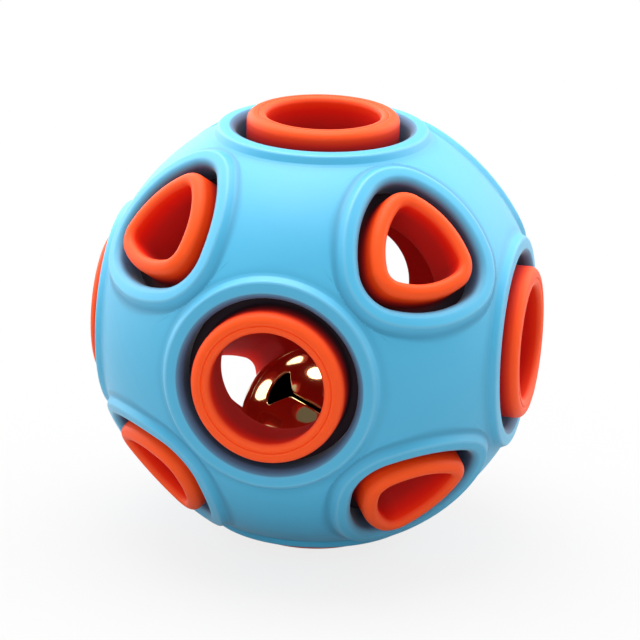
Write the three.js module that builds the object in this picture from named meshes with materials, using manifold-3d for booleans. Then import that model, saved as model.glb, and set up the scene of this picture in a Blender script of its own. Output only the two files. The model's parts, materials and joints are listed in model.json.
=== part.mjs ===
// Rubber dog ball: a blue outer shell with six round and eight three-cornered holes, an orange inner
// ball whose open collars stand through those holes, and a brass jingle bell loose inside.
// The origin is the ball's centre, +Z is up and the ball stands on the collar at -Z.
import * as THREE from "three";
import { mergeVertices } from "three/addons/utils/BufferGeometryUtils.js";
import Module from "manifold-3d";

// Driving dimensions, in millimetres and degrees

// Outer shell
const shellRadius = 37; // bare outside, between the lips
const shellWall = 4.2;
const portGap = 2.05; // a collar to the wall of its hole
const lipEdgeRound = 0.6; // rounded edge of a hole
const lipRaise = 0.95; // lip crest above the bare outside
const lipCrest = 0.9; // width of the rounded crest
const roundLipWidth = 2.4; // hole wall to the outer side of the crest
const cornerLipWidth = 1.9;
const lipSlope = 1.1; // crest to the bare outside
const lipValley = 0.3; // bare strip left where two lips come closest
const crestFall = 0.15; // drop across the crest
const slopeRise = 0.3; // middle of the slope above the bare outside

// Inner ball
const layerGap = 0.4; // inside of the shell to the inner ball
const innerBallWall = 5;
const roundCollarRadius = 12.6;
const roundCollarWall = 3.3;
const roundRimHeight = 36.2; // ball centre to a round rim
const cornerReach = 10; // axis to a corner of a three-cornered collar
const sideReach = 8.3; // axis to the middle of its side
const cornerRadius = 4.7;
const cornerCollarWall = 2.6;
const cornerRimHeight = 37; // ball centre to a three-cornered rim
const boreFlare = 0.7; // how far a bore widens towards the hollow
const roundRimRound = 1.1; // outer edge of a round rim
const cornerRimRound = 1.5; // outer edge of a three-cornered rim
const rimInnerRound = 0.8;
const collarFillet = 0.9; // foot of a collar

// Bell
const bellRadius = 12.5;
const bellWall = 0.6;
const bellSkirt = 1; // upper cup's rim inside the lower cup
const bellSkirtWall = 0.4;
const bellSeam = 0.3; // clearance between the two cups
const bellPlay = 0.3; // bell to the mouth that it rests on
const bellTurn = 37.3; // sound slot, to the right of the front
const bellRoll = 39.3; // sound slot about the bell's own axis
const slotWidth = 0.9;
const slotReach = 49.5; // bell's pole to the narrow end of a sound hole
const soundHoleBase = 6; // three-sided hole at each end of the slot
const soundHoleLength = 3.6;
const soundHoleRound = 0.5;
const loopWire = 1.6; // diameter
const loopWidth = 4.2; // between the middles of the two legs
const loopHeight = 3.9; // top of the loop above the cup
const loopTail = 0.7; // legs below the inside of the cup
const loopClearance = 0.2;
const loopRest = 0.85; // loop to the wall of the hollow, which it leans towards
const pelletRadius = 2.8;
const pelletPlay = 0.3;

// Numbers of flats
const cornerSteps = 2; // half of a rounded corner
const sideSteps = 1; // half of a side
const wedgeSteps = cornerSteps + sideSteps;
const bellSides = 24;
const bellRings = 5;
const wireSides = 8;
const loopSteps = 12;
const pelletRings = 6;
const holeSteps = 3; // rounded end of a sound hole
const weldDistance = 1e-3;

// Sizes that follow
const shellInside = shellRadius - shellWall;
const innerBallRadius = shellInside - layerGap;
const hollowRadius = innerBallRadius - innerBallWall;
const roundMouth = roundCollarRadius - roundCollarWall + boreFlare;
const mouthHeight = Math.sqrt(hollowRadius ** 2 - roundMouth ** 2);
const bellDrop = mouthHeight - Math.sqrt((bellRadius + bellPlay) ** 2 - roundMouth ** 2);
const loopReach = bellRadius + loopHeight;
const loopDistance = hollowRadius - loopRest; // ball centre to the top of the loop
const loopDip = (loopDistance ** 2 - loopReach ** 2 - bellDrop ** 2) / (2 * bellDrop * loopReach);
const bellTilt = Math.asin(loopDip); // sound slot, above the horizontal
const degree = Math.PI / 180;

const wasm = await Module();
wasm.setup();

const rubber = (colour) => new THREE.MeshStandardMaterial({ color: colour, roughness: 0.55, metalness: 0 });
const metal = (colour, roughness) => new THREE.MeshStandardMaterial({ color: colour, roughness, metalness: 1 });

// One port is a hole with its collar, seen in the slice of the ball between z, x = y and y = z.
// Its outline is kept as arcs: a centre, the direction of the outline's normal and a radius.
const sideways = new THREE.Vector3(-1, 1, 0).normalize();

function roundPort() {
  const arcs = [];
  for (let step = 0; step <= wedgeSteps; step++) {
    arcs.push({ x: 0, y: 0, turn: (45 * degree * step) / wedgeSteps, radius: roundCollarRadius });
  }
  return {
    axis: new THREE.Vector3(0, 0, 1),
    inward: new THREE.Vector3(1, 1, 0).normalize(),
    arcs,
    wall: roundCollarWall,
    rim: roundRimHeight,
    rimRound: roundRimRound,
    lipWidth: roundLipWidth,
  };
}

// The corners are arcs, and bowed sides run into them: each side's arc is tangent to both its corners.
function threeCorneredPort() {
  const cornerCentre = cornerReach - cornerRadius;
  const sideRise = sideReach - cornerRadius;
  const sideCentre = (cornerCentre ** 2 - sideRise ** 2) / (2 * sideRise - cornerCentre);
  const half = 60 * degree;
  const meet = Math.atan2(sideCentre * Math.sin(half), cornerCentre + sideCentre * Math.cos(half));
  const arcs = [];
  for (let step = 0; step <= cornerSteps; step++) {
    arcs.push({ x: cornerCentre, y: 0, turn: (meet * step) / cornerSteps, radius: cornerRadius });
  }
  for (let step = 1; step <= sideSteps; step++) {
    arcs.push({
      x: -sideCentre * Math.cos(half),
      y: -sideCentre * Math.sin(half),
      turn: meet + ((half - meet) * step) / sideSteps,
      radius: sideCentre + sideReach,
    });
  }
  return {
    axis: new THREE.Vector3(1, 1, 1).normalize(),
    inward: new THREE.Vector3(-1, -1, 2).normalize(),
    arcs,
    wall: cornerCollarWall,
    rim: cornerRimHeight,
    rimRound: cornerRimRound,
    lipWidth: cornerLipWidth,
  };
}

// A point beside the collar's outer outline, at a height along the port's axis.
function atHeight(port, step, offset, height) {
  const { x, y, turn, radius } = port.arcs[step];
  const along = x + (radius + offset) * Math.cos(turn);
  const across = y + (radius + offset) * Math.sin(turn);
  return new THREE.Vector3()
    .addScaledVector(port.axis, height)
    .addScaledVector(port.inward, along)
    .addScaledVector(sideways, across);
}

// The same point, at a distance from the ball's centre.
function onSphere(port, step, offset, distance) {
  const flat = atHeight(port, step, offset, 0);
  return flat.addScaledVector(port.axis, Math.sqrt(distance ** 2 - flat.lengthSq()));
}

// Points of a sphere on the way from one port to the other. The way bends towards the middle of the
// bare field, which the slice's last edge passes through.
const fieldMiddle = new THREE.Vector3(0, 1, 1).normalize();

function across(from, to, step, nearest) {
  const radius = from.length();
  const share = step / wedgeSteps;
  const middle = nearest.clone().normalize().lerp(fieldMiddle, share).setLength(radius);
  const half = (a, b) => a.clone().add(b).setLength(radius);
  return [half(from, middle), middle, half(middle, to)];
}

// A slice is a closed loop of points at each step. The ball is 48 slices: each order and each sign of
// the coordinates makes one, and half of them are mirror images, whose faces are turned round.
function ballOfSlices(loops) {
  const corners = [];
  const count = loops[0].length;
  for (let step = 0; step < wedgeSteps; step++) {
    for (let i = 0; i < count; i++) {
      const next = (i + 1) % count;
      const [a, b] = [loops[step][i], loops[step][next]];
      const [c, d] = [loops[step + 1][next], loops[step + 1][i]];
      corners.push(a, b, c, a, c, d);
    }
  }
  const orders = [
    ["x", "y", "z", 1],
    ["y", "z", "x", 1],
    ["z", "x", "y", 1],
    ["y", "x", "z", -1],
    ["x", "z", "y", -1],
    ["z", "y", "x", -1],
  ];
  const positions = [];
  for (const [p, q, r, parity] of orders) {
    for (const sx of [1, -1]) {
      for (const sy of [1, -1]) {
        for (const sz of [1, -1]) {
          const turned = parity * sx * sy * sz < 0;
          for (let i = 0; i < corners.length; i += 3) {
            const face = [corners[i], corners[i + 1], corners[i + 2]];
            if (turned) face.reverse();
            for (const v of face) positions.push(sx * v[p], sy * v[q], sz * v[r]);
          }
        }
      }
    }
  }
  const geometry = new THREE.BufferGeometry();
  geometry.setAttribute("position", new THREE.Float32BufferAttribute(positions, 3));
  return mergeVertices(geometry, weldDistance);
}

const ports = [roundPort(), threeCorneredPort()];

// Outer shell: the wall of each hole, its rounded edge, a flat lip that rises to a crest, and a slope
// down to the bare field. Where two lips meet they are narrowed to share the room.
function outerShell() {
  const edgeOf = (port, step) => onSphere(port, step, portGap, shellRadius);
  const roomAt = (step) => edgeOf(ports[0], step).distanceTo(edgeOf(ports[1], step));
  const lipRoom = ports[0].lipWidth + ports[1].lipWidth + 2 * lipSlope;
  const squeeze = Math.min(1, (roomAt(0) - lipValley) / lipRoom);
  const lip = (port, step) => {
    const crestOut = port.lipWidth * squeeze;
    const crestIn = crestOut - lipCrest * squeeze;
    const foot = crestOut + lipSlope * squeeze;
    const at = (width, raise) => onSphere(port, step, portGap + width, shellRadius + raise);
    return [
      onSphere(port, step, portGap, shellInside),
      at(0, -lipEdgeRound),
      at(lipEdgeRound, 0),
      at(crestIn, lipRaise),
      at(crestOut, lipRaise - crestFall),
      at((crestOut + foot) / 2, slopeRise),
      at(foot, 0),
    ];
  };
  const feet = ports.map((port) => lip(port, 0).at(-1));
  const nearest = feet[0].clone().add(feet[1]);
  const loops = [];
  for (let step = 0; step <= wedgeSteps; step++) {
    const [round, cornered] = ports.map((port) => lip(port, step));
    const outside = across(round.at(-1), cornered.at(-1), step, nearest);
    const inside = across(cornered[0], round[0], step, nearest);
    loops.push([...round, ...outside, ...cornered.reverse(), ...inside]);
  }
  return ballOfSlices(loops);
}

// Inner ball: from the hollow up each bore, over the rounded rim with its flat top, down the collar's
// outside and through a fillet onto the ball.
function innerBall() {
  const collar = (port, step) => {
    const bore = -port.wall;
    const rim = new THREE.Path();
    rim.moveTo(bore, port.rim - rimInnerRound);
    rim.absarc(bore + rimInnerRound, port.rim - rimInnerRound, rimInnerRound, Math.PI, Math.PI / 2, true);
    rim.lineTo(-port.rimRound, port.rim);
    rim.absarc(-port.rimRound, port.rim - port.rimRound, port.rimRound, Math.PI / 2, 0, true);
    const over = rim.getPoints(1).map((p) => atHeight(port, step, p.x, p.y));
    return [
      onSphere(port, step, bore + boreFlare, hollowRadius),
      ...over,
      onSphere(port, step, 0, innerBallRadius + collarFillet),
      onSphere(port, step, collarFillet, innerBallRadius),
    ];
  };
  const feet = ports.map((port) => collar(port, 0).at(-1));
  const nearest = feet[0].clone().add(feet[1]);
  const loops = [];
  for (let step = 0; step <= wedgeSteps; step++) {
    const [round, cornered] = ports.map((port) => collar(port, step));
    const outside = across(round.at(-1), cornered.at(-1), step, nearest);
    const inside = across(cornered[0], round[0], step, nearest);
    loops.push([...round, ...outside, ...cornered.reverse(), ...inside]);
  }
  return ballOfSlices(loops);
}

// A closed three.js geometry as a solid for cutting, and a solid back as a geometry.
function solidOf(geometry) {
  geometry.deleteAttribute("normal");
  geometry.deleteAttribute("uv");
  const merged = mergeVertices(geometry, weldDistance);
  const faces = [];
  for (let i = 0; i < merged.index.count; i += 3) {
    const [a, b, c] = [0, 1, 2].map((k) => merged.index.getX(i + k));
    if (a !== b && b !== c && c !== a) faces.push(a, b, c);
  }
  const mesh = new wasm.Mesh({
    numProp: 3,
    vertProperties: new Float32Array(merged.attributes.position.array),
    triVerts: new Uint32Array(faces),
  });
  return new wasm.Manifold(mesh);
}

function geometryOf(solid) {
  const mesh = solid.getMesh();
  const geometry = new THREE.BufferGeometry();
  geometry.setAttribute("position", new THREE.BufferAttribute(mesh.vertProperties, 3));
  geometry.setIndex(new THREE.BufferAttribute(mesh.triVerts, 1));
  return geometry;
}

// An arc of a cup's section, from one polar angle to another, measured from the bell's pole.
function cupArc(radius, from, to) {
  const points = [];
  for (let i = 0; i <= bellRings; i++) {
    const angle = from + ((to - from) * i) / bellRings;
    points.push(new THREE.Vector2(radius * Math.sin(angle), -radius * Math.cos(angle)));
  }
  return points;
}

const revolve = (profile) => new THREE.LatheGeometry(profile, bellSides).rotateX(Math.PI / 2);

// Lower cup: half a sphere with the sound slot across its pole and a three-sided hole at each end.
function bellLowerCup() {
  const inside = bellRadius - bellWall;
  const outer = cupArc(bellRadius, 0, Math.PI / 2);
  const inner = cupArc(inside, Math.PI / 2, 0);
  const narrowEnd = slotReach * degree;
  const slotLength = 2 * bellRadius * Math.sin(narrowEnd);
  const slotDepth = bellRadius * (1 - Math.cos(narrowEnd)) + bellWall;
  const slot = new THREE.BoxGeometry(slotLength, slotWidth, slotDepth + bellWall);
  slot.translate(0, 0, -bellRadius - bellWall + (slotDepth + bellWall) / 2);
  slot.rotateZ(bellRoll * degree);
  let cup = solidOf(revolve([...outer, ...inner])).subtract(solidOf(slot));

  const hole = new THREE.Shape();
  const halfBase = soundHoleBase / 2;
  hole.moveTo(-slotWidth / 2, -slotWidth / 2);
  hole.lineTo(-slotWidth / 2, slotWidth / 2);
  hole.lineTo(soundHoleLength - 2 * soundHoleRound, halfBase);
  hole.quadraticCurveTo(soundHoleLength, halfBase, soundHoleLength, halfBase - 2 * soundHoleRound);
  hole.lineTo(soundHoleLength, -halfBase + 2 * soundHoleRound);
  hole.quadraticCurveTo(soundHoleLength, -halfBase, soundHoleLength - 2 * soundHoleRound, -halfBase);
  for (const end of [0, 180]) {
    const cut = { depth: 6 * bellWall, bevelEnabled: false, curveSegments: holeSteps };
    const cutter = new THREE.ExtrudeGeometry(hole, cut);
    cutter.translate(0, 0, -bellRadius - 2 * bellWall);
    cutter.rotateY(-narrowEnd).rotateZ((bellRoll + end) * degree);
    cup = cup.subtract(solidOf(cutter));
  }
  return geometryOf(cup);
}

// Upper cup: half a sphere with a thin skirt inside the lower cup's rim, and two holes for the loop.
function bellUpperCup() {
  const inside = bellRadius - bellWall;
  const seam = Math.PI / 2 + bellSeam / bellRadius;
  const skirtOut = inside - bellSeam;
  const skirtIn = skirtOut - bellSkirtWall;
  const outer = cupArc(bellRadius, seam, Math.PI);
  const inner = cupArc(inside, Math.PI, seam + bellWall / bellRadius);
  const skirt = [
    new THREE.Vector2(skirtIn, bellWall),
    new THREE.Vector2(skirtIn, -bellSkirt),
    new THREE.Vector2(skirtOut, -bellSkirt),
    new THREE.Vector2(skirtOut, outer[0].y),
  ];
  let cup = solidOf(revolve([...skirt, ...outer, ...inner, skirt[0].clone()]));
  for (const side of [-1, 1]) {
    const reach = loopWire / 2 + loopClearance;
    const drill = new THREE.CylinderGeometry(reach, reach, 4 * bellWall, wireSides).rotateX(Math.PI / 2);
    drill.translate((side * loopWidth) / 2, 0, bellRadius - bellWall);
    cup = cup.subtract(solidOf(drill));
  }
  return geometryOf(cup);
}

// Loop: one bent wire whose legs pass through the upper cup.
class LoopCurve extends THREE.Curve {
  getPoint(t, target = new THREE.Vector3()) {
    const bend = loopWidth / 2;
    const top = bellRadius + loopHeight - loopWire / 2;
    const foot = bellRadius - bellWall - loopTail;
    const leg = top - bend - foot;
    const arc = Math.PI * bend;
    const travel = t * (2 * leg + arc);
    if (travel < leg) return target.set(-bend, 0, foot + travel);
    if (travel > leg + arc) return target.set(bend, 0, foot + 2 * leg + arc - travel);
    const angle = (travel - leg) / bend;
    return target.set(-bend * Math.cos(angle), 0, foot + leg + bend * Math.sin(angle));
  }
}

function bellLoop() {
  const section = new THREE.Shape();
  for (let i = 0; i < wireSides; i++) {
    const angle = (2 * Math.PI * i) / wireSides;
    const [x, y] = [(loopWire / 2) * Math.cos(angle), (loopWire / 2) * Math.sin(angle)];
    if (i === 0) section.moveTo(x, y);
    else section.lineTo(x, y);
  }
  return new THREE.ExtrudeGeometry(section, { steps: loopSteps, extrudePath: new LoopCurve() });
}

// The pieces, placed
const ball = new THREE.Group();

function piece(name, geometry, material, parent) {
  const mesh = new THREE.Mesh(geometry, material);
  mesh.name = name;
  parent.add(mesh);
  return mesh;
}

piece("outer_shell", outerShell(), rubber(0x5cb8dc), ball);
piece("inner_ball", innerBall(), rubber(0xf0531e), ball);

const bell = new THREE.Group();
bell.position.z = -bellDrop;
bell.rotation.z = bellTurn * degree;
const bellBody = new THREE.Group();
bellBody.rotation.x = -Math.PI / 2 - bellTilt;
bell.add(bellBody);
ball.add(bell);

const brass = () => metal(0xd9a441, 0.16);
piece("bell_lower_cup", bellLowerCup(), brass(), bellBody);
piece("bell_upper_cup", bellUpperCup(), brass(), bellBody);
piece("bell_loop", bellLoop(), brass(), bellBody);

const skirtInside = bellRadius - bellWall - bellSeam - bellSkirtWall;
const pelletDrop = skirtInside - pelletPlay - pelletRadius;
const pellet = new THREE.SphereGeometry(pelletRadius, 2 * pelletRings, pelletRings);
piece("bell_pellet", geometryOf(solidOf(pellet)), metal(0xb9bcc0, 0.3), bell).position.z = -pelletDrop;

export default ball;
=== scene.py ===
import json
from math import cos, pi, radians, sin, sqrt, tan

import bmesh
import bpy
from mathutils import Matrix, Vector


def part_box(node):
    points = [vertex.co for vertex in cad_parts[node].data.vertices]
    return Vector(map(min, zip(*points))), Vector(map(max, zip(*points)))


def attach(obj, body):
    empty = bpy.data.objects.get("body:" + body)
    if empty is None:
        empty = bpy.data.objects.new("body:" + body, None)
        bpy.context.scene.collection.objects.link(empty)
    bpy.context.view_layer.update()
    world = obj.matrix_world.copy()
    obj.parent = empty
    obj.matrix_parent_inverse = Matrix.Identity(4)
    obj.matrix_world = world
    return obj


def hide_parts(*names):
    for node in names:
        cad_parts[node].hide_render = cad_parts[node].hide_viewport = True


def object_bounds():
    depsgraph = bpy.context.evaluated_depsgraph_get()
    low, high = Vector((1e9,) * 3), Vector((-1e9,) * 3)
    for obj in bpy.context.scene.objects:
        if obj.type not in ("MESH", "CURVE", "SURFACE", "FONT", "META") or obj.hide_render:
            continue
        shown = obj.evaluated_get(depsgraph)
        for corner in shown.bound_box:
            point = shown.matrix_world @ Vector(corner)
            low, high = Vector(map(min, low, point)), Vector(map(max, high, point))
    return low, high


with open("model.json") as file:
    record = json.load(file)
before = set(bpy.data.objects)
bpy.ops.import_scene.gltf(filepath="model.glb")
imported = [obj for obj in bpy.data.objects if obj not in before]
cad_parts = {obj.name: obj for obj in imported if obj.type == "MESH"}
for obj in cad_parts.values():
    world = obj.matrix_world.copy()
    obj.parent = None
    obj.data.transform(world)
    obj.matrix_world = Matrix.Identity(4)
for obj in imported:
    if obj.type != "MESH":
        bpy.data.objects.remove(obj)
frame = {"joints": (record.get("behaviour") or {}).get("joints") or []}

# Rubber dog ball: blue shell, orange inner ball with collars through the shell's holes, brass bell inside.
# Everything is in metres, in the frame of the CAD solids, with the ball's centre at the origin.
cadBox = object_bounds()
mm = 0.001


# Camera and picture

photo = {
    "pixels": 640,
    "ballCentre": (318.0, 321.6),  # where the ball's centre shows
    "ballRadius": 221.8,  # bare shell, in pixels
    "azimuth": 12.85,
    "elevation": 18.48,
    "roll": 1.53,
    "distance": 683.0 * mm,
    "sensor": 36.0,
}


def makeCamera(shellRadius):
    turn, lift = radians(photo["azimuth"]), radians(photo["elevation"])
    back = Vector((sin(turn) * cos(lift), -cos(turn) * cos(lift), sin(lift)))
    right = Vector((0, 0, 1)).cross(back).normalized()
    up = back.cross(right)
    spin = Matrix.Rotation(radians(photo["roll"]), 3, back)
    right, up = spin @ right, spin @ up
    data = bpy.data.cameras.new("camera")
    data.sensor_width = photo["sensor"]
    ratio = photo["distance"] / shellRadius
    focal = photo["ballRadius"] * sqrt(ratio ** 2 - 1)  # in pixels
    data.lens = focal / photo["pixels"] * photo["sensor"]
    data.shift_x = 0.5 - photo["ballCentre"][0] / photo["pixels"]
    data.shift_y = photo["ballCentre"][1] / photo["pixels"] - 0.5
    camera = bpy.data.objects.new("camera", data)
    turned = Matrix((right, up, back)).transposed().to_4x4()
    camera.matrix_world = Matrix.Translation(back * photo["distance"]) @ turned
    bpy.context.scene.collection.objects.link(camera)
    bpy.context.scene.camera = camera


# Small helpers

longestReach = 0.8  # share of a straight stretch that a rounding may take up


def link(obj):
    bpy.context.scene.collection.objects.link(obj)
    return obj


def gridMesh(name, rows, closeRows=False, closeColumns=False, marks=None):
    rowCount, count = len(rows), len(rows[0])
    points = [p for row in rows for p in row]
    faces = []
    for r in range(rowCount if closeRows else rowCount - 1):
        for c in range(count if closeColumns else count - 1):
            nextRow, nextColumn = (r + 1) % rowCount, (c + 1) % count
            faces.append((r * count + c, r * count + nextColumn,
                          nextRow * count + nextColumn, nextRow * count + c))
    mesh = bpy.data.meshes.new(name)
    mesh.from_pydata([tuple(p) for p in points], [], faces)
    for mark, values in (marks or {}).items():
        mesh.attributes.new(mark, "FLOAT", "POINT").data.foreach_set("value", values)
    return mesh


def clamp(value):
    return min(1.0, max(0.0, value))


def rising(value, span):
    start, reach = span
    return clamp((value - start) / reach)


def finishMesh(mesh, weld=0.002 * mm):
    work = bmesh.new()
    work.from_mesh(mesh)
    bmesh.ops.remove_doubles(work, verts=work.verts, dist=weld)
    bmesh.ops.dissolve_degenerate(work, edges=work.edges, dist=weld)
    bmesh.ops.recalc_face_normals(work, faces=work.faces)
    for face in work.faces:
        face.smooth = True
    work.to_mesh(mesh)
    work.free()
    return mesh


def roundedLine(stations):
    # Each station is a corner, its rounding, the steps of that arc and the points on the way to the next.
    arcs = []
    for k, (corner, radius, arcSteps, _) in enumerate(stations):
        if not arcSteps:
            arcs.append([corner])
            continue
        before = stations[k - 1][0] - corner
        after = stations[k + 1][0] - corner
        half = before.angle(after) / 2
        reach = min(radius / tan(half), longestReach * before.length, longestReach * after.length)
        before.normalize()
        after.normalize()
        middle = corner + (before + after).normalized() * (reach / cos(half))
        start, end = corner + before * reach - middle, corner + after * reach - middle
        swing = start.angle(end)
        arc = []
        for i in range(arcSteps + 1):
            share = i / arcSteps
            turned = start * sin((1 - share) * swing) + end * sin(share * swing)
            arc.append(middle + turned / sin(swing))
        arcs.append(arc)
    line = []
    for k, arc in enumerate(arcs):
        line += arc
        extra = stations[k][3]
        for i in range(1, extra + 1):
            line.append(arc[-1].lerp(arcs[k + 1][0], i / (extra + 1)))
    return line


def edgeShares(line, tight=0.6 * mm, shortest=0.001 * mm):
    # How sharply each point of a profile bends outwards: 1 where its radius is tight or less.
    shares = [0.0]
    for before, here, after in zip(line, line[1:], line[2:]):
        first, second = here - before, after - here
        length = (first.length + second.length) / 2
        if min(first.length, second.length) < shortest:
            shares.append(shares[-1])
            continue
        shares.append(clamp(first.angle_signed(second) / length * tight))
    return shares + [0.0]


# Ports: a hole with its collar, in the slice of the ball between the planes x = 0, x = y and y = z

collars = {
    "roundRadius": 12.6 * mm,
    "roundWall": 3.3 * mm,
    "roundRim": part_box("inner_ball")[1].z,  # rim above the ball's centre
    "cornerReach": 10.0 * mm,
    "sideReach": 8.3 * mm,
    "cornerRadius": 4.7 * mm,
    "corneredWall": 2.6 * mm,
    "corneredRim": 37.0 * mm,
    "cornerSteps": 11,
    "sideSteps": 7,
}
sliceSteps = collars["cornerSteps"] + collars["sideSteps"]
sideways = Vector((-1, 1, 0)).normalized()
fieldMiddle = Vector((0, 1, 1)).normalized()
paintedCreaseFade = 1.3 * mm  # how far the painted crease shade beside a lip darkens the field


def roundPort():
    turns = [radians(45) * i / sliceSteps for i in range(sliceSteps + 1)]
    return {
        "axis": Vector((0, 0, 1)),
        "inward": Vector((1, 1, 0)).normalized(),
        "arcs": [(0.0, 0.0, turn, collars["roundRadius"]) for turn in turns],
        "wall": collars["roundWall"],
        "rim": collars["roundRim"],
        "kind": "round",
    }


def corneredPort():
    corner = collars["cornerReach"] - collars["cornerRadius"]
    rise = collars["sideReach"] - collars["cornerRadius"]
    side = (corner ** 2 - rise ** 2) / (2 * rise - corner)
    third = radians(60)
    meet = Vector((corner + side * cos(third), side * sin(third))).angle(Vector((1, 0)))
    arcs = []
    for i in range(collars["cornerSteps"] + 1):
        arcs.append((corner, 0.0, meet * i / collars["cornerSteps"], collars["cornerRadius"]))
    for i in range(1, collars["sideSteps"] + 1):
        turn = meet + (third - meet) * i / collars["sideSteps"]
        arcs.append((-side * cos(third), -side * sin(third), turn, side + collars["sideReach"]))
    return {
        "axis": Vector((1, 1, 1)).normalized(),
        "inward": Vector((-1, -1, 2)).normalized(),
        "arcs": arcs,
        "wall": collars["corneredWall"],
        "rim": collars["corneredRim"],
        "kind": "cornered",
    }


ports = [roundPort(), corneredPort()]


def spot(port, step, offset, height):
    # A point beside the collar's outer outline, at a height along the port's axis.
    x, y, turn, radius = port["arcs"][step]
    along = x + (radius + offset) * cos(turn)
    across = y + (radius + offset) * sin(turn)
    return port["axis"] * height + port["inward"] * along + sideways * across


def heightOn(port, step, offset, distance):
    flat = spot(port, step, offset, 0.0)
    return sqrt(distance ** 2 - flat.length_squared)


def acrossField(start, end, step, nearest, count):
    # Points of a sphere on the way between two ports, bent towards the middle of the bare field.
    radius = start.length
    middle = nearest.normalized().lerp(fieldMiddle, step / sliceSteps).normalized() * radius
    way = [start.lerp(middle, i / count) for i in range(1, count + 1)]
    way += [middle.lerp(end, i / count) for i in range(1, count)]
    return [p.normalized() * radius for p in way]


def sliceMesh(name, section, depths, outside, inside):
    # section(port, step) runs from the inside of the wall, through the port, to its outside.
    # depths(port, step, point) gives a point's painted shade, darker painted colour and painted crease
    # shade, each from 0 to 1.
    def stretch(port, step):
        line = section(port, step)
        edges = edgeShares(line)
        return [(spot(port, step, *p), *depths(port, step, p), edge) for p, edge in zip(line, edges)]

    def field(start, end, step, nearest, count):
        marked = []
        for p in acrossField(start[0], end[0], step, nearest, count):
            away = min((p - start[0]).length, (p - end[0]).length)
            # painted crease shade on the field beside a lip, fading away from it
            paintedCrease = start[3] * (1 - clamp(away / paintedCreaseFade)) ** 2
            marked.append((p, start[1], start[2], paintedCrease, 0.0))
        return marked

    starts = [stretch(port, 0) for port in ports]
    nearIn, nearOut = [starts[0][end][0] + starts[1][end][0] for end in (0, -1)]
    rows = []
    for step in range(sliceSteps + 1):
        first, second = [stretch(port, step) for port in ports]
        over = field(first[-1], second[-1], step, nearOut, outside)
        under = field(second[0], first[0], step, nearIn, inside)
        rows.append(first + over + second[::-1] + under)
    flat = [p for row in rows for p in row]
    marks = {}
    for k, mark in enumerate(("gap", "bore", "paintedCrease", "edge"), start=1):
        marks[mark] = [p[k] for p in flat]
    return gridMesh(name, [[p[0] for p in row] for row in rows], closeColumns=True, marks=marks)


# Geometry Nodes: one slice, mirrored and turned, makes the whole ball

ball = {
    "copies": 3,  # round the axis of a three-cornered port
    "weld": 0.001 * mm,
}


def treeSocket(tree, name, kind, direction="INPUT", value=None):
    socket = tree.interface.new_socket(name=name, in_out=direction, socket_type=kind)
    if value is not None:
        socket.default_value = value
    return socket


def mirrorTree():
    tree = bpy.data.node_groups.new("mirror and join", "GeometryNodeTree")
    treeSocket(tree, "Geometry", "NodeSocketGeometry")
    treeSocket(tree, "Scale", "NodeSocketVector")
    treeSocket(tree, "Turn", "NodeSocketRotation")
    treeSocket(tree, "Geometry", "NodeSocketGeometry", "OUTPUT")
    nodes, links = tree.nodes, tree.links
    given = nodes.new("NodeGroupInput")
    move = nodes.new("GeometryNodeTransform")
    flip = nodes.new("GeometryNodeFlipFaces")
    join = nodes.new("GeometryNodeJoinGeometry")
    out = nodes.new("NodeGroupOutput")
    links.new(given.outputs["Geometry"], move.inputs["Geometry"])
    links.new(given.outputs["Scale"], move.inputs["Scale"])
    links.new(given.outputs["Turn"], move.inputs["Rotation"])
    links.new(move.outputs["Geometry"], flip.inputs["Mesh"])
    links.new(flip.outputs["Mesh"], join.inputs["Geometry"])
    links.new(given.outputs["Geometry"], join.inputs["Geometry"])
    links.new(join.outputs["Geometry"], out.inputs["Geometry"])
    return tree


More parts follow.
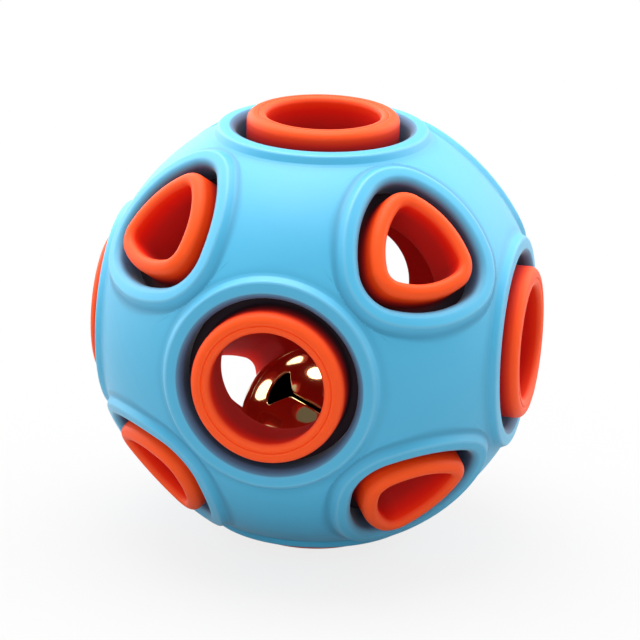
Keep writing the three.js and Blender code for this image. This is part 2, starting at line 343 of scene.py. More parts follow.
def ballTree():
    tree = bpy.data.node_groups.new("ball from a slice", "GeometryNodeTree")
    treeSocket(tree, "Geometry", "NodeSocketGeometry")
    treeSocket(tree, "Copies Round Corner", "NodeSocketInt", value=ball["copies"])
    treeSocket(tree, "Weld Distance", "NodeSocketFloat", value=ball["weld"])
    treeSocket(tree, "Surface", "NodeSocketMaterial")
    treeSocket(tree, "Geometry", "NodeSocketGeometry", "OUTPUT")
    nodes, links = tree.nodes, tree.links
    given = nodes.new("NodeGroupInput")
    mirror = mirrorTree()

    def mirrored(source, scale, turn=(0, 0, 0)):
        node = nodes.new("GeometryNodeGroup")
        node.node_tree = mirror
        node.inputs["Scale"].default_value = scale
        node.inputs["Turn"].default_value = turn
        links.new(source, node.inputs["Geometry"])
        return node.outputs["Geometry"]

    # x and y swapped, then turned about the corner's axis, then mirrored in each plane
    pair = mirrored(given.outputs["Geometry"], (-1, 1, 1), (0, 0, -pi / 2))
    points = nodes.new("GeometryNodePoints")
    links.new(given.outputs["Copies Round Corner"], points.inputs["Count"])
    index = nodes.new("GeometryNodeInputIndex")
    share = nodes.new("ShaderNodeMath")
    share.operation = "DIVIDE"
    links.new(index.outputs[0], share.inputs[0])
    links.new(given.outputs["Copies Round Corner"], share.inputs[1])
    angle = nodes.new("ShaderNodeMath")
    angle.operation = "MULTIPLY"
    angle.inputs[1].default_value = 2 * pi
    links.new(share.outputs[0], angle.inputs[0])
    turn = nodes.new("FunctionNodeAxisAngleToRotation")
    turn.inputs["Axis"].default_value = (1, 1, 1)
    links.new(angle.outputs[0], turn.inputs["Angle"])
    copies = nodes.new("GeometryNodeInstanceOnPoints")
    links.new(points.outputs[0], copies.inputs["Points"])
    links.new(pair, copies.inputs["Instance"])
    links.new(turn.outputs["Rotation"], copies.inputs["Rotation"])
    gather = nodes.new("GeometryNodeRealizeInstances")
    links.new(copies.outputs["Instances"], gather.inputs["Geometry"])
    half = mirrored(gather.outputs["Geometry"], (-1, 1, 1))
    half = mirrored(half, (1, -1, 1))
    whole = mirrored(half, (1, 1, -1))
    weld = nodes.new("GeometryNodeMergeByDistance")
    links.new(whole, weld.inputs["Geometry"])
    links.new(given.outputs["Weld Distance"], weld.inputs["Distance"])
    smooth = nodes.new("GeometryNodeSetShadeSmooth")
    links.new(weld.outputs["Geometry"], smooth.inputs[0])
    realize = nodes.new("GeometryNodeRealizeInstances")
    links.new(smooth.outputs[0], realize.inputs["Geometry"])
    paint = nodes.new("GeometryNodeSetMaterial")
    links.new(realize.outputs["Geometry"], paint.inputs["Geometry"])
    links.new(given.outputs["Surface"], paint.inputs["Material"])
    out = nodes.new("NodeGroupOutput")
    links.new(paint.outputs["Geometry"], out.inputs["Geometry"])
    return tree


def ballFromSlice(name, sliceOfBall, tree, material):
    maker = link(bpy.data.objects.new(name + "_slice", sliceOfBall))
    modifier = maker.modifiers.new("ball", "NODES")
    modifier.node_group = tree
    values = {"Copies Round Corner": ball["copies"], "Weld Distance": ball["weld"], "Surface": material}
    for item in tree.interface.items_tree:
        if item.in_out == "INPUT" and item.name in values:
            modifier[item.identifier] = values[item.name]
    depsgraph = bpy.context.evaluated_depsgraph_get()
    mesh = bpy.data.meshes.new_from_object(maker.evaluated_get(depsgraph), depsgraph=depsgraph)
    mesh.name = name
    maker.modifiers.remove(modifier)
    bpy.data.objects.remove(maker)
    finishMesh(mesh)
    return link(bpy.data.objects.new(name, mesh))


# Outer shell

shell = {
    "radius": 37.0 * mm,  # bare outside
    "wall": 4.54 * mm,  # down to just above the inner ball
    "portGap": 1.75 * mm,  # collar to the hole's wall
    "holeRaise": {"round": 0.0, "cornered": 0.5 * mm},  # height of the hole's outer edge over the field
    "holeEdge": {"round": 1.3 * mm, "cornered": 1.3 * mm},  # rounding of that edge
    "insideEdge": 0.3 * mm,
    "lipRaise": 0.95 * mm,
    "crestRound": 0.65 * mm,
    "crest": {"round": 2.95 * mm, "cornered": 2.8 * mm},  # hole's wall to the crest
    "sideRun": 0.6 * mm,  # crest to the bottom of the lip's steep side
    "sideFoot": 0.1 * mm,  # height left there
    "sideRound": 0.6 * mm,
    "footRun": 1.05 * mm,  # crest to the bare field
    "footRound": 1.2 * mm,
    "run": 0.25 * mm,  # start of the bare field past the foot
    "wallRun": 1.2 * mm,  # how far the painted shade reaches over the inside of the shell
    "paintedCrease": (0.3 * mm, 0.6 * mm),  # start and reach of the painted crease shade past the crest
    "paintedCreaseShare": {"round": 0.35, "cornered": 1.0},
    "openPaintedCrease": 0.25,  # how much fainter the painted crease shade is where the ports are furthest apart
    # start and reach of the darker colour painted as shade on the hole's wall
    "paintedRecess": {"round": (-0.65 * mm, 1.1 * mm), "cornered": (0.1 * mm, 1.1 * mm)},
    "shade": (1.8 * mm, 2.4 * mm),  # start and reach of the painted shade at its foot
    "fieldSteps": (7, 4),  # from a port to the middle of the field, outside and inside
}


def shellSection(port, step):
    def at(width, raised):
        offset = shell["portGap"] + width
        return Vector((offset, heightOn(port, step, offset, shell["radius"] + raised)))

    crest = shell["crest"][port["kind"]]
    foot = crest + shell["footRun"]
    return roundedLine([
        (at(shell["run"], -shell["wall"]), 0, 0, 1),
        (at(0, -shell["wall"]), shell["insideEdge"], 3, 3),
        (at(0, shell["holeRaise"][port["kind"]]), shell["holeEdge"][port["kind"]], 9, 1),
        (at(crest, shell["lipRaise"]), shell["crestRound"], 7, 1),
        (at(crest + shell["sideRun"], shell["sideFoot"]), shell["sideRound"], 6, 1),
        (at(foot, 0), shell["footRound"], 3, 1),
        (at(foot + shell["run"], 0), 0, 0, 0),
    ])


def shellDepths(port, step, p):
    kind = port["kind"]
    depth = heightOn(port, step, shell["portGap"], shell["radius"] + shell["holeRaise"][kind]) - p.y
    beyond = p.x - shell["portGap"]
    if beyond > shell["wallRun"]:
        # on the field: painted crease shade past the crest
        share = shell["paintedCreaseShare"][kind] * (1 - shell["openPaintedCrease"] * step / sliceSteps)
        return 0.0, 0.0, share * rising(beyond - shell["crest"][kind], shell["paintedCrease"])
    # on the hole's wall: painted shade at its foot and a darker colour painted as shade
    return rising(depth, shell["shade"]), rising(depth, shell["paintedRecess"][kind]), 0.0


# Inner ball

innerBall = {
    "radius": 32.4 * mm,
    "hollow": 27.4 * mm,
    "boreFlare": 0.7 * mm,
    "mouthRound": 0.6 * mm,
    "rimInner": {"round": 1.1 * mm, "cornered": 1.0 * mm},
    "rimOuter": {"round": 1.5 * mm, "cornered": 1.5 * mm},
    "bead": 1.2 * mm,  # width of the bead between a round bore and the groove beside it
    "groove": 0.4 * mm,
    "grooveDepth": 0.28 * mm,
    "grooveRound": 0.05 * mm,
    "footRound": 0.9 * mm,
    "run": 1.6 * mm,
    # start and reach of the deeper red painted as shade on a collar's outside, and of the painted shade at
    # its foot
    "paintedRecess": {"round": (0.4 * mm, 2.0 * mm), "cornered": (0.6 * mm, 3.2 * mm)},
    "shade": {"round": (1.0 * mm, 4.2 * mm), "cornered": (2.4 * mm, 3.6 * mm)},
    "paintedBoreRed": (0.2 * mm, 1.2 * mm),  # start and reach of the deeper red painted as shade in a bore
    "boreShade": (1.0 * mm, 4.0 * mm),  # the same for the painted shade further in
    "hollowShade": 0.42,  # where that painted shade stops
    "fieldSteps": (5, 5),
}


def collarSection(port, step):
    def on(offset, distance):
        return Vector((offset, heightOn(port, step, offset, distance)))

    bore = -port["wall"]
    mouth = bore + innerBall["boreFlare"]
    run = innerBall["run"]
    groove = []
    if port["kind"] == "round":
        for share, deep in ((0.0, 0.0), (0.5, innerBall["grooveDepth"]), (1.0, 0.0)):
            across = bore + innerBall["bead"] + innerBall["groove"] * share
            groove.append((Vector((across, port["rim"] - deep)), innerBall["grooveRound"], 2, 0))
    return roundedLine([
        (on(mouth + run, innerBall["hollow"]), 0, 0, 1),
        (on(mouth, innerBall["hollow"]), innerBall["mouthRound"], 4, 6),
        (Vector((bore, port["rim"])), innerBall["rimInner"][port["kind"]], 8, 1),
        *groove,
        (Vector((0.0, port["rim"])), innerBall["rimOuter"][port["kind"]], 8, 3),
        (on(0.0, innerBall["radius"]), innerBall["footRound"], 4, 1),
        (on(run, innerBall["radius"]), 0, 0, 0),
    ])


def collarDepths(port, step, p):
    depth = port["rim"] - p.y
    middle = (innerBall["radius"] + innerBall["hollow"]) / 2
    if p.x > -port["wall"] / 2 and spot(port, step, *p).length > middle:
        kind = port["kind"]
        # on a collar's outside: painted shade at its foot and a deeper red painted as shade
        return rising(depth, innerBall["shade"][kind]), rising(depth, innerBall["paintedRecess"][kind]), 0.0
    # in a bore and the hollow: a deeper red and a darker colour painted as shade
    shade = innerBall["hollowShade"] * rising(depth, innerBall["boreShade"])
    return shade, rising(depth, innerBall["paintedBoreRed"]), 0.0


# Bell

bell = {
    "centre": Vector(next(j for j in frame["joints"] if j["name"] == "pellet_roll")["pos_m"]),
    "turn": 37.3,
    "tilt": 13,
    "roll": 39.3,
    "radius": 12.5 * mm,
    "wall": 0.6 * mm,
    "seam": 0.06 * mm,  # gap between the two cups
    "skirt": 1.0 * mm,
    "skirtWall": 0.4 * mm,
    "skirtGap": 0.3 * mm,
    "ledgeRound": 0.1 * mm,
    "skirtRound": 0.15 * mm,
    "seamRound": 0.05 * mm,
    "slotHalf": 0.26 * mm,
    "slotReach": 49.5,  # degrees from the pole to the narrow end of a sound hole
    "holeHalf": 3.8 * mm,
    "holeLength": 3.6 * mm,
    "holeRound": 0.8 * mm,
    "holeBulge": 1.0 * mm,  # bow of the hole's wide end
    "bulgeShare": 0.8,  # how much of it is reached half way to the corner
    "bulgeRound": 3.0 * mm,
    "neckRound": 0.6 * mm,
    "rings": 26,  # of the lower cup, from the slot to the seam
    "ringSpread": 1.5,  # more than 1 sets them closer together at the slot
    "lipSteps": 6,
    "wire": 0.8 * mm,  # radius of the loop's wire
    "loopWidth": 4.2 * mm,
    "loopHeight": 3.9 * mm,
    "loopTail": 0.7 * mm,
    "legSteps": 8,
    "bendSteps": 24,
    "wireSides": 16,
    "capRise": 0.3,  # of the wire's radius
    "capRings": ((0.85, 0.7), (0.5, 0.95), (0.0, 1.0)),  # width and rise of the rings on a wire's end
    "pellet": 2.8 * mm,
    "pelletPlay": 0.3 * mm,
    "pelletBelt": 0.3 * mm,  # half the width of the flat band round it
    "pelletSteps": 23,
    "pelletSides": 48,
}


def bellPlace():
    lean = Matrix.Rotation(-radians(90 + bell["tilt"]), 4, "X")
    return Matrix.Translation(bell["centre"]) @ Matrix.Rotation(radians(bell["turn"]), 4, "Z") @ lean


def slotOutline():
    # A quarter of the sound slot, in lengths along and across the slot, is mirrored to all of it.
    narrow = bell["radius"] * radians(bell["slotReach"])
    wide = narrow + bell["holeLength"]
    bowed = wide + bell["bulgeShare"] * bell["holeBulge"]
    quarter = roundedLine([
        (Vector((0.0, bell["slotHalf"])), 0, 0, 14),
        (Vector((narrow, bell["slotHalf"])), bell["neckRound"], 6, 6),
        (Vector((wide, bell["holeHalf"])), bell["holeRound"], 12, 3),
        (Vector((bowed, bell["holeHalf"] / 2)), bell["bulgeRound"], 4, 2),
        (Vector((wide + bell["holeBulge"], 0.0)), 0, 0, 0),
    ])
    upper = quarter + [Vector((p.x, -p.y)) for p in quarter[-2::-1]]
    return upper + [Vector((-p.x, p.y)) for p in upper[-2:0:-1]]


def onCup(along, across, radius):
    s, t = along / bell["radius"], across / bell["radius"]
    return Vector((cos(t) * sin(s), sin(t), -cos(t) * cos(s))) * radius


def lowerCupMesh():
    outline = slotOutline()
    edge = bell["wall"] / 2
    inside = bell["radius"] - bell["wall"]
    shares = [(k / bell["rings"]) ** bell["ringSpread"] for k in range(bell["rings"] + 1)]
    rows = []
    for i, p in enumerate(outline):
        start = onCup(p.x, p.y, 1.0)
        around = pi / 2 - 2 * pi * i / len(outline)
        rim = Vector((cos(around), sin(around), 0.0))
        away = (rim - start * rim.dot(start)).normalized()
        begin = (start + away * (edge / bell["radius"])).normalized()
        outer = [begin.slerp(rim, share) * bell["radius"] for share in reversed(shares)]
        inner = [begin.slerp(rim, share) * inside for share in shares]
        lip = []
        for k in range(1, bell["lipSteps"]):
            swing = pi * k / bell["lipSteps"]
            back = edge * (1 - sin(swing))
            level = bell["radius"] - edge + edge * cos(swing)
            lip.append((start + away * (back / bell["radius"])).normalized() * level)
        rows.append(outer + lip + inner)
    mesh = gridMesh("bell_lower_cup", rows, closeRows=True, closeColumns=True)
    mesh.transform(Matrix.Rotation(radians(bell["roll"]), 4, "Z"))
    return mesh


def revolved(name, profile, sides=96):
    rows = []
    for i in range(sides):
        turn = 2 * pi * i / sides
        rows.append([Vector((p.x * cos(turn), p.x * sin(turn), p.y)) for p in profile])
    return gridMesh(name, rows, closeRows=True)


def upperCupMesh():
    inside = bell["radius"] - bell["wall"]
    skirtOut = inside - bell["skirtGap"]
    skirtIn = skirtOut - bell["skirtWall"]

    def arc(radius, start, end, count=28):
        angles = [start + (end - start) * i / count for i in range(count + 1)]
        return [Vector((radius * cos(a), radius * sin(a))) for a in angles]

    seam = bell["seam"] / bell["radius"]
    ledge = bell["wall"] / inside
    outside = arc(bell["radius"], seam, pi / 2)
    profile = [Vector((0.0, inside))] + arc(inside, pi / 2, ledge)[1:]
    profile += roundedLine([
        (profile[-1], 0, 0, 0),
        (Vector((skirtIn, bell["wall"])), bell["ledgeRound"], 3, 1),
        (Vector((skirtIn, -bell["skirt"])), bell["skirtRound"], 3, 0),
        (Vector((skirtOut, -bell["skirt"])), bell["skirtRound"], 3, 1),
        (Vector((skirtOut, bell["seam"])), bell["ledgeRound"], 3, 0),
        (Vector((bell["radius"] * cos(seam), bell["seam"])), bell["seamRound"], 4, 0),
        (outside[1], 0, 0, 0),
    ])[1:]
    profile += outside[2:-1] + [Vector((0.0, bell["radius"]))]
    return revolved("bell_upper_cup", profile)


def loopMesh():
    half = bell["loopWidth"] / 2
    top = bell["radius"] + bell["loopHeight"] - bell["wire"]
    foot = bell["radius"] - bell["wall"] - bell["loopTail"]
    bend = top - half
    legSteps, bendSteps = bell["legSteps"], bell["bendSteps"]
    way = [Vector((-half, 0, foot + (bend - foot) * i / legSteps)) for i in range(legSteps)]
    for i in range(bendSteps + 1):
        swing = pi * i / bendSteps
        way.append(Vector((-half * cos(swing), 0, bend + half * sin(swing))))
    way += [Vector((-p.x, 0, p.z)) for p in way[legSteps - 1::-1]]
    side = Vector((0, 1, 0))
    turns = [2 * pi * k / bell["wireSides"] for k in range(bell["wireSides"])]
    rows = []
    for i, p in enumerate(way):
        ahead = way[min(i + 1, len(way) - 1)] - way[max(i - 1, 0)]
        out = side.cross(ahead.normalized())
        rows.append([p + (side * cos(turn) + out * sin(turn)) * bell["wire"] for turn in turns])
    for end, row in ((0, rows[0]), (-1, rows[-1])):
        middle = way[end]
        before = way[1 if end == 0 else -2]
        beyond = (middle - before).normalized() * bell["capRise"] * bell["wire"]
        cap = [[middle + (p - middle) * share + beyond * rise for p in row]
               for share, rise in bell["capRings"]]
        rows = cap[::-1] + rows if end == 0 else rows + cap
    return gridMesh("bell_loop", rows, closeColumns=True)


def pelletMesh():
    radius, belt = bell["pellet"], bell["pelletBelt"]
    start = belt / radius
    profile = [Vector((0.0, -radius))]
    for i in range(1, bell["pelletSteps"] + 1):
        a = -pi / 2 + (pi / 2 - start) * i / bell["pelletSteps"]
        profile.append(Vector((radius * cos(a), radius * sin(a))))
    profile += [Vector((p.x, -p.y)) for p in profile[::-1]]
    mesh = revolved("bell_pellet", profile, bell["pelletSides"])
    skirtIn = bell["radius"] - bell["wall"] - bell["skirtGap"] - bell["skirtWall"]
    drop = skirtIn - bell["pelletPlay"] - radius
    mesh.transform(Matrix.Translation(bell["centre"] - Vector((0, 0, drop))))
    return mesh


# Materials

rubberFinish = {
    "cloudDetail": 4,
    "grainDetail": 3,
    "grainHeight": 0.05 * mm,
    "mattSpread": 0.05,  # how far the grain shifts the roughness up and down
    "boreRoughness": 0.25,  # added on the walls of holes and bores
    "sheenRoughness": 0.3,
    "wear": (0.85, 0.85, 0.85),  # paler colour of rubbed edges
}
metalFinish = {
    "smearSize": 220,
    "smearDetail": 5,
    "polish": (0.6, 1.5),  # lowest and highest share of the roughness
    "insideEdge": (0.25 * mm, 0.4 * mm),  # depth in a cup's wall over which the painted shade of its inside starts
}


def newMaterial(name):
    material = bpy.data.materials.new(name)
    material.use_nodes = True
    nodes, links = material.node_tree.nodes, material.node_tree.links
    return material, nodes, links, nodes["Principled BSDF"]


def rubberSkinGroup():
    # Moulded rubber: faint clouds in the colour, a fine matt grain, shade painted darker into
    # bores, gaps and creases, and paler edges. The marks come from the mesh's own attributes.
    group = bpy.data.node_groups.new("moulded rubber skin and painted shade", "ShaderNodeTree")
    for name, kind, value in (
        ("Colour", "NodeSocketColor", (0.5, 0.5, 0.5, 1)),
        ("Cloud Colour", "NodeSocketColor", (0.5, 0.5, 0.5, 1)),
        ("Cloud Size", "NodeSocketFloat", 80.0),
        ("Grain Size", "NodeSocketFloat", 2600.0),
        ("Roughness", "NodeSocketFloat", 0.45),
        ("Painted Recess Colour", "NodeSocketColor", (0.5, 0.5, 0.5, 1)),
        ("Painted Gap Colour", "NodeSocketColor", (0.05, 0.05, 0.05, 1)),
        ("Gap Shade", "NodeSocketFloat", 0.9),
        ("Painted Crease Colour", "NodeSocketColor", (0.05, 0.05, 0.05, 1)),
        ("Crease Shade", "NodeSocketFloat", 0.3),
        ("Edge Wear", "NodeSocketFloat", 0.3),
    ):
        treeSocket(group, name, kind, value=value)
    treeSocket(group, "Colour", "NodeSocketColor", "OUTPUT")
    treeSocket(group, "Roughness", "NodeSocketFloat", "OUTPUT")
    treeSocket(group, "Height", "NodeSocketFloat", "OUTPUT")
    nodes, links = group.nodes, group.links
    given = nodes.new("NodeGroupInput")
    out = nodes.new("NodeGroupOutput")
    where = nodes.new("ShaderNodeTexCoord")
    clouds = nodes.new("ShaderNodeTexNoise")
    clouds.inputs["Detail"].default_value = rubberFinish["cloudDetail"]
    grain = nodes.new("ShaderNodeTexNoise")
    grain.inputs["Detail"].default_value = rubberFinish["grainDetail"]
    links.new(where.outputs["Object"], clouds.inputs["Vector"])
    links.new(where.outputs["Object"], grain.inputs["Vector"])
    links.new(given.outputs["Cloud Size"], clouds.inputs["Scale"])
    links.new(given.outputs["Grain Size"], grain.inputs["Scale"])
    tint = nodes.new("ShaderNodeMix")
    tint.data_type = "RGBA"
    links.new(clouds.outputs["Fac"], tint.inputs["Factor"])
    links.new(given.outputs["Colour"], tint.inputs["A"])
    links.new(given.outputs["Cloud Colour"], tint.inputs["B"])
    paleWear = nodes.new("ShaderNodeRGB")
    paleWear.outputs[0].default_value = (*rubberFinish["wear"], 1)

    def mark(name):
        attribute = nodes.new("ShaderNodeAttribute")
        attribute.attribute_name = name
        return attribute.outputs["Fac"]

    def calculated(operation, *values):
        node = nodes.new("ShaderNodeMath")
        node.operation = operation
        for socket, value in zip(node.inputs, values):
            if isinstance(value, float):
                socket.default_value = value
            else:
                links.new(value, socket)
        return node.outputs[0]

    def mixed(factor, source, colour):
        mix = nodes.new("ShaderNodeMix")
        mix.data_type = "RGBA"
        links.new(factor, mix.inputs["Factor"])
        links.new(source, mix.inputs["A"])
        links.new(colour, mix.inputs["B"])
        return mix.outputs["Result"]

    bore, gap, paintedCrease, edge = [mark(name) for name in ("bore", "gap", "paintedCrease", "edge")]
    # shade painted into creases, recesses and gaps, then paler worn edges
    creaseShadeAmount = calculated("MULTIPLY", paintedCrease, given.outputs["Crease Shade"])
    creaseShaded = mixed(creaseShadeAmount, tint.outputs["Result"], given.outputs["Painted Crease Colour"])
    recessShaded = mixed(bore, creaseShaded, given.outputs["Painted Recess Colour"])
    shade = calculated("MULTIPLY", gap, given.outputs["Gap Shade"])
    shaded = mixed(shade, recessShaded, given.outputs["Painted Gap Colour"])
    wear = calculated("MULTIPLY", edge, given.outputs["Edge Wear"])
    worn = mixed(wear, shaded, paleWear.outputs[0])
    matt = nodes.new("ShaderNodeMapRange")
    matt.inputs["To Min"].default_value = -rubberFinish["mattSpread"]
    matt.inputs["To Max"].default_value = rubberFinish["mattSpread"]
    links.new(grain.outputs["Fac"], matt.inputs["Value"])
    rough = calculated("ADD", given.outputs["Roughness"], matt.outputs["Result"])
    rough = calculated("MULTIPLY_ADD", bore, rubberFinish["boreRoughness"], rough)
    links.new(worn, out.inputs["Colour"])
    links.new(rough, out.inputs["Roughness"])
    links.new(grain.outputs["Fac"], out.inputs["Height"])
    return group


def rubber(name, group, look):
    material, nodes, links, shader = newMaterial(name)
    skin = nodes.new("ShaderNodeGroup")
    skin.node_tree = group
    for socket, key in (("Colour", "colour"), ("Cloud Colour", "cloud"), ("Painted Recess Colour", "bore"),
                        ("Painted Gap Colour", "gap"), ("Painted Crease Colour", "paintedCrease")):
        if key in look:
            skin.inputs[socket].default_value = (*look[key], 1)
    for socket, key in (("Roughness", "roughness"), ("Gap Shade", "gapShade"),
                        ("Crease Shade", "creaseShade"), ("Edge Wear", "edgeWear")):
        if key in look:
            skin.inputs[socket].default_value = look[key]
    bump = nodes.new("ShaderNodeBump")
    bump.inputs["Strength"].default_value = look["grain"]
    bump.inputs["Distance"].default_value = rubberFinish["grainHeight"]
    links.new(skin.outputs["Colour"], shader.inputs["Base Color"])
    links.new(skin.outputs["Roughness"], shader.inputs["Roughness"])
    links.new(skin.outputs["Height"], bump.inputs["Height"])
    links.new(bump.outputs["Normal"], shader.inputs["Normal"])
    shader.inputs["Specular IOR Level"].default_value = look["gloss"]
    shader.inputs["Sheen Weight"].default_value = look["sheen"]
    shader.inputs["Sheen Roughness"].default_value = rubberFinish["sheenRoughness"]
    return material


shellLook = {
    "colour": (0.072, 0.43, 0.67),
    "cloud": (0.064, 0.41, 0.65),
    "roughness": 0.46,
    "grain": 0.15,
    "gloss": 0.5,
    "sheen": 0.16,
    # lavender navy painted as shade on the holes' walls, dark navy painted as shade at their feet
    "bore": (0.045, 0.115, 0.225),
    "gap": (0.04, 0.05, 0.10),
    "gapShade": 0.7,
    # darker blue painted as shade in the creases beside the lips
    "paintedCrease": (0.015, 0.17, 0.32),
    "creaseShade": 0.6,
    "edgeWear": 0.06,
}
innerLook = {
    "colour": (0.95, 0.085, 0.004),
    "cloud": (0.92, 0.077, 0.003),
    "roughness": 0.46,
    "grain": 0.15,
    "gloss": 0.15,
    "sheen": 0.0,
    # deep red painted as shade in the bores and on the collars' sides, near black painted as shade at
    # their feet
    "bore": (0.90, 0.012, 0.001),
    "gap": (0.034, 0.022, 0.03),
    "gapShade": 1.0,
    "edgeWear": 0.03,
}
brassLook = {
    "colour": (0.83, 0.62, 0.31),
    "smear": (0.75, 0.53, 0.24),
    "roughness": 0.09,
    # near black painted as shade on the inside of the cups
    "inside": (0.03, 0.016, 0.006),
    "insideRoughness": 0.6,
}
steelLook = {
    "colour": (0.62, 0.62, 0.63),
    "smear": (0.48, 0.48, 0.50),
    "roughness": 0.28,
}


def metal(name, look):
    material, nodes, links, shader = newMaterial(name)
    where = nodes.new("ShaderNodeTexCoord")
    smears = nodes.new("ShaderNodeTexNoise")
    smears.inputs["Scale"].default_value = metalFinish["smearSize"]
    smears.inputs["Detail"].default_value = metalFinish["smearDetail"]
    tint = nodes.new("ShaderNodeMix")
    tint.data_type = "RGBA"
    tint.inputs["A"].default_value = (*look["colour"], 1)
    tint.inputs["B"].default_value = (*look["smear"], 1)
    polish = nodes.new("ShaderNodeMapRange")
    smoothest, roughest = metalFinish["polish"]
    polish.inputs["To Min"].default_value = look["roughness"] * smoothest
    polish.inputs["To Max"].default_value = look["roughness"] * roughest
    links.new(where.outputs["Object"], smears.inputs["Vector"])
    links.new(smears.outputs["Fac"], tint.inputs["Factor"])
    links.new(smears.outputs["Fac"], polish.inputs["Value"])
    colour, roughness = tint.outputs["Result"], polish.outputs["Result"]
    if "inside" in look:
        # The inside of the cups, found by its distance from the bell's centre, painted dark and dull as
        # shade
        away = nodes.new("ShaderNodeVectorMath")
        away.operation = "DISTANCE"
        away.inputs[1].default_value = bell["centre"]
        links.new(where.outputs["Object"], away.inputs[0])
        within = nodes.new("ShaderNodeMapRange")
        shadeStart, shadeEnd = metalFinish["insideEdge"]
        within.inputs["From Min"].default_value = bell["radius"] - shadeStart
        within.inputs["From Max"].default_value = bell["radius"] - shadeEnd
        links.new(away.outputs["Value"], within.inputs["Value"])
        shadedInside = nodes.new("ShaderNodeMix")
        shadedInside.data_type = "RGBA"
        shadedInside.inputs["B"].default_value = (*look["inside"], 1)
        links.new(within.outputs["Result"], shadedInside.inputs["Factor"])
        links.new(colour, shadedInside.inputs["A"])
        dull = nodes.new("ShaderNodeMix")
        dull.inputs["B"].default_value = look["insideRoughness"]
        links.new(within.outputs["Result"], dull.inputs["Factor"])
        links.new(roughness, dull.inputs["A"])
        colour, roughness = shadedInside.outputs["Result"], dull.outputs["Result"]
    links.new(colour, shader.inputs["Base Color"])
    links.new(roughness, shader.inputs["Roughness"])
    shader.inputs["Metallic"].default_value = 1
    return material


# Floor, light and background

stageLook = {
    "floorSize": 6.0,
    "floorColour": 0.45,
    "floorRoughness": 0.9,
    "keepShadow": 0.2,  # share of the floor near the ball that light and shadow still shade
    "shadowStart": 0.03,  # distance from the ball's middle at which that share starts to fade
    "shadowReach": 0.12,  # how far it reaches
    "mirrorReach": 0.3,  # how far the floor is shaded where it is seen in a reflection
    "worldStrength": 0.33,
    "dimSide": (0.0, -0.97, 0.24),  # the unlit side of the studio, as glossy surfaces mirror it
    "dimStrength": 0.15,
    "dimEdge": (0.1, 0.85),  # from where to where it fades, as cosines from its middle
}


def floorMaterial():
    material, nodes, links, shader = newMaterial("floor")
    shader.inputs["Base Color"].default_value = (*[stageLook["floorColour"]] * 3, 1)
    shader.inputs["Roughness"].default_value = stageLook["floorRoughness"]
    path = nodes.new("ShaderNodeLightPath")
    reflected = nodes.new("ShaderNodeMath")
    reflected.operation = "MAXIMUM"
    links.new(path.outputs["Is Glossy Ray"], reflected.inputs[0])
    links.new(path.outputs["Is Transmission Ray"], reflected.inputs[1])
    where = nodes.new("ShaderNodeTexCoord")
    far = nodes.new("ShaderNodeVectorMath")
    far.operation = "LENGTH"
    links.new(where.outputs["Object"], far.inputs[0])

    def whiteShare(rays, nearest, reach):
        fade = nodes.new("ShaderNodeMapRange")
        fade.interpolation_type = "SMOOTHSTEP"
        fade.inputs["From Min"].default_value = stageLook["shadowStart"]
        fade.inputs["From Max"].default_value = reach
        fade.inputs["To Min"].default_value = nearest
        fade.inputs["To Max"].default_value = 1
        links.new(far.outputs["Value"], fade.inputs["Value"])
        part = nodes.new("ShaderNodeMath")
        part.operation = "MULTIPLY"
        links.new(rays, part.inputs[0])
        links.new(fade.outputs["Result"], part.inputs[1])
        return part.outputs[0]

    share = nodes.new("ShaderNodeMath")
    share.operation = "MAXIMUM"
    nearest = 1 - stageLook["keepShadow"]
    direct = whiteShare(path.outputs["Is Camera Ray"], nearest, stageLook["shadowReach"])
    links.new(direct, share.inputs[0])
    links.new(whiteShare(reflected.outputs[0], 0.0, stageLook["mirrorReach"]), share.inputs[1])
    white = nodes.new("ShaderNodeEmission")
    white.inputs["Strength"].default_value = 1
    mix = nodes.new("ShaderNodeMixShader")
    links.new(share.outputs[0], mix.inputs[0])
    links.new(shader.outputs[0], mix.inputs[1])
    links.new(white.outputs[0], mix.inputs[2])
    links.new(mix.outputs[0], nodes["Material Output"].inputs["Surface"])
    return material


def makeFloor():
    level = cadBox[0].z
    half = stageLook["floorSize"] / 2
    mesh = bpy.data.meshes.new("floor")
    corners = [(-half, -half, level), (half, -half, level), (half, half, level), (-half, half, level)]
    mesh.from_pydata(corners, [], [(0, 1, 2, 3)])
    mesh.materials.append(floorMaterial())
    link(bpy.data.objects.new("floor", mesh))


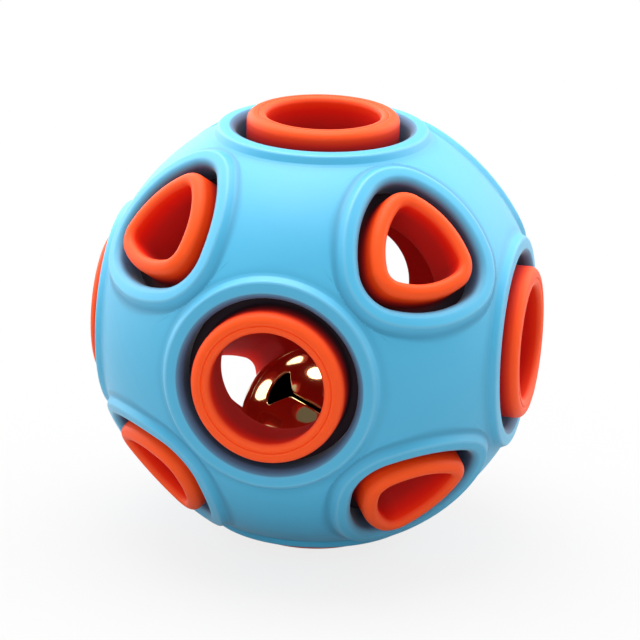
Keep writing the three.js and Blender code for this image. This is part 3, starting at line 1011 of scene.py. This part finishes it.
def makeWorld():
    world = bpy.data.worlds.new("studio")
    bpy.context.scene.world = world
    world.use_nodes = True
    nodes, links = world.node_tree.nodes, world.node_tree.links
    soft = nodes["Background"]
    soft.inputs["Color"].default_value = (1, 1, 1, 1)
    soft.inputs["Strength"].default_value = stageLook["worldStrength"]
    white = nodes.new("ShaderNodeBackground")
    white.inputs["Color"].default_value = (1, 1, 1, 1)
    where = nodes.new("ShaderNodeTexCoord")
    facing = nodes.new("ShaderNodeVectorMath")
    facing.operation = "DOT_PRODUCT"
    facing.inputs[1].default_value = stageLook["dimSide"]
    links.new(where.outputs["Generated"], facing.inputs[0])
    mirrored = nodes.new("ShaderNodeMapRange")
    mirrored.interpolation_type = "SMOOTHSTEP"
    dimStart, dimEnd = stageLook["dimEdge"]
    mirrored.inputs["From Min"].default_value = dimStart
    mirrored.inputs["From Max"].default_value = dimEnd
    mirrored.inputs["To Min"].default_value = 1
    mirrored.inputs["To Max"].default_value = stageLook["dimStrength"]
    links.new(facing.outputs["Value"], mirrored.inputs["Value"])
    path = nodes.new("ShaderNodeLightPath")

    def larger(first, second):
        node = nodes.new("ShaderNodeMath")
        node.operation = "MAXIMUM"
        links.new(first, node.inputs[0])
        links.new(second, node.inputs[1])
        return node.outputs[0]

    seen = larger(path.outputs["Is Camera Ray"], path.outputs["Is Transmission Ray"])
    links.new(larger(seen, mirrored.outputs["Result"]), white.inputs["Strength"])
    mix = nodes.new("ShaderNodeMixShader")
    links.new(larger(seen, path.outputs["Is Glossy Ray"]), mix.inputs[0])
    links.new(soft.outputs[0], mix.inputs[1])
    links.new(white.outputs[0], mix.inputs[2])
    links.new(mix.outputs[0], nodes["World Output"].inputs["Surface"])


lamps = [
    {"name": "top softbox", "place": (-0.1, 0.1, 0.74), "size": 0.7, "power": 6.9, "mirrored": True},
    {"name": "left rim light", "place": (-0.85, 0.4, 0.3), "size": 1.6, "power": 14.0, "mirrored": True},
    {"name": "right rim light", "place": (0.68, 0.58, 0.55), "size": 1.4, "power": 10.8, "mirrored": True},
    {"name": "front fill", "place": (0.1, -0.92, 0.25), "size": 0.7, "power": 3.2, "mirrored": False},
]


def makeLamps():
    for lamp in lamps:
        data = bpy.data.lights.new(lamp["name"], "AREA")
        data.shape = "DISK"
        data.size = lamp["size"]
        data.energy = lamp["power"]
        obj = link(bpy.data.objects.new(lamp["name"], data))
        obj.location = lamp["place"]
        obj.visible_glossy = lamp["mirrored"]
        obj.rotation_euler = Vector(lamp["place"]).to_track_quat("Z", "Y").to_euler()


# Building

def settle(piece, body, node):
    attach(piece, body)
    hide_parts(node)
    print(f"{piece.name}: {len(piece.data.polygons)} faces on {body}")


bpy.context.scene.view_settings.view_transform = "Standard"
makeCamera(shell["radius"])
makeWorld()
makeLamps()
makeFloor()
print("camera, light and floor made")

skin = rubberSkinGroup()
tree = ballTree()
shellSlice = sliceMesh("shell_slice", shellSection, shellDepths, *shell["fieldSteps"])
settle(ballFromSlice("blue_shell", shellSlice, tree, rubber("blue rubber", skin, shellLook)),
       "outer_shell", "outer_shell")
collarSlice = sliceMesh("collar_slice", collarSection, collarDepths, *innerBall["fieldSteps"])
settle(ballFromSlice("orange_ball", collarSlice, tree, rubber("orange rubber", skin, innerLook)),
       "inner_ball", "inner_ball")

brass = metal("polished brass", brassLook)
brassMeshes = {
    "bell_lower_cup": lowerCupMesh(),
    "bell_upper_cup": upperCupMesh(),
    "bell_loop": loopMesh(),
}
for node, mesh in brassMeshes.items():
    mesh.transform(bellPlace())
    finishMesh(mesh)
    mesh.materials.append(brass)
    settle(link(bpy.data.objects.new("brass_" + node, mesh)), "bell", node)

pellet = finishMesh(pelletMesh())
pellet.materials.append(metal("plain steel", steelLook))
settle(link(bpy.data.objects.new("steel_pellet", pellet)), "pellet", "bell_pellet")
